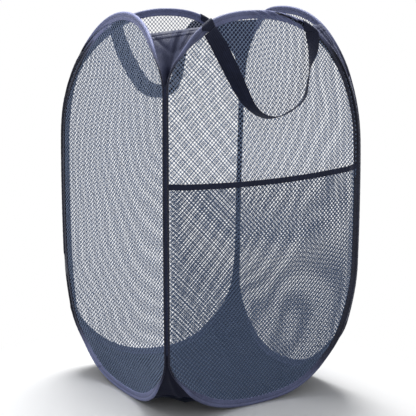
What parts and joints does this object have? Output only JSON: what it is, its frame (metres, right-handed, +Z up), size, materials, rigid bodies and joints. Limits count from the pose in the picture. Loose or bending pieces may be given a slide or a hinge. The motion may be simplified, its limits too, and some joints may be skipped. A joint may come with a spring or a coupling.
{
  "type": "pop up laundry hamper",
  "caption": "Collapsible mesh hamper whose spring-hoop side panels pop up into an open-topped box, with a net pocket and webbing carry handles",
  "frame": {"origin": "on the floor, in the middle under the base cloth", "axes": "+Z up, towards the open mouth; the front panel with the pocket faces -Y; +X is the right side as the front is looked at"},
  "size_m": [0.356, 0.3968, 0.61],
  "materials": {
    "net_yarn": "warp-knitted polyester net, slightly silky",
    "rim_cloth": "woven binding tape, low sheen",
    "gusset_cloth": "thin woven polyester, soft sheen",
    "base_cloth": "woven polyester, matt",
    "webbing": "woven webbing, matt",
    "spring_steel": "rolled spring steel",
    "thread": "sewing thread"
  },
  "bodies": {
    "front_panel": {"front_net": "net_yarn", "front_casing": "rim_cloth", "front_hoop": "spring_steel", "front_hoop_sleeve": "spring_steel", "front_handle_end_left": "webbing", "front_handle_end_right": "webbing", "pocket_net": "net_yarn", "pocket_hem": "rim_cloth", "base_cloth": "base_cloth", "corner_seam_front_left": "thread", "top_gusset_front_left": "gusset_cloth", "top_gusset_hem_front_left": "gusset_cloth", "bottom_gusset_front_left": "base_cloth", "corner_seam_front_right": "thread", "top_gusset_front_right": "gusset_cloth", "top_gusset_hem_front_right": "gusset_cloth", "bottom_gusset_front_right": "base_cloth"},
    "left_panel": {"left_net": "net_yarn", "left_casing": "rim_cloth", "left_hoop": "spring_steel", "left_hoop_sleeve": "spring_steel", "corner_seam_back_left": "thread", "top_gusset_back_left": "gusset_cloth", "top_gusset_hem_back_left": "gusset_cloth", "bottom_gusset_back_left": "base_cloth"},
    "right_panel": {"right_net": "net_yarn", "right_casing": "rim_cloth", "right_hoop": "spring_steel", "right_hoop_sleeve": "spring_steel", "corner_seam_back_right": "thread", "top_gusset_back_right": "gusset_cloth", "top_gusset_hem_back_right": "gusset_cloth", "bottom_gusset_back_right": "base_cloth"},
    "back_panel": {"back_net": "net_yarn", "back_casing": "rim_cloth", "back_hoop": "spring_steel", "back_hoop_sleeve": "spring_steel", "back_handle_end_left": "webbing", "back_handle_end_right": "webbing"},
    "front_handle": {"front_handle": "webbing"},
    "back_handle": {"back_handle": "webbing"}
  },
  "joints": [
    {"name": "front_left_corner_fold", "type": "hinge", "parent": "front_panel", "child": "left_panel", "pos_m": [-0.1724, -0.1724, 0.305], "axis": [0, 0, -1], "range_deg": [-68, 68], "deforming": ["base_cloth", "top_gusset_front_left", "top_gusset_hem_front_left", "bottom_gusset_front_left"]},
    {"name": "front_right_corner_fold", "type": "hinge", "parent": "front_panel", "child": "right_panel", "pos_m": [0.1724, -0.1724, 0.305], "axis": [0, 0, -1], "range_deg": [-68, 68], "deforming": ["top_gusset_front_right", "top_gusset_hem_front_right", "bottom_gusset_front_right", "top_gusset_back_right", "top_gusset_hem_back_right", "bottom_gusset_back_right"]},
    {"name": "back_left_corner_fold", "type": "hinge", "parent": "left_panel", "child": "back_panel", "pos_m": [-0.1724, 0.1724, 0.305], "axis": [0, 0, -1], "range_deg": [-68, 68], "deforming": ["top_gusset_back_left", "top_gusset_hem_back_left", "bottom_gusset_back_left"]},
    {"name": "front_handle_swing", "type": "hinge", "parent": "front_panel", "child": "front_handle", "pos_m": [0, -0.1699, 0.5782], "axis": [-1, 0, 0], "range_deg": [0, 180]},
    {"name": "back_handle_swing", "type": "hinge", "parent": "back_panel", "child": "back_handle", "pos_m": [0, 0.1699, 0.5782], "axis": [1, 0, 0], "range_deg": [0, 180]}
  ],
  "couplings": [
    {"joint": "front_right_corner_fold", "follows": "front_left_corner_fold", "ratio": 1},
    {"joint": "back_left_corner_fold", "follows": "front_left_corner_fold", "ratio": -1}
  ]
}
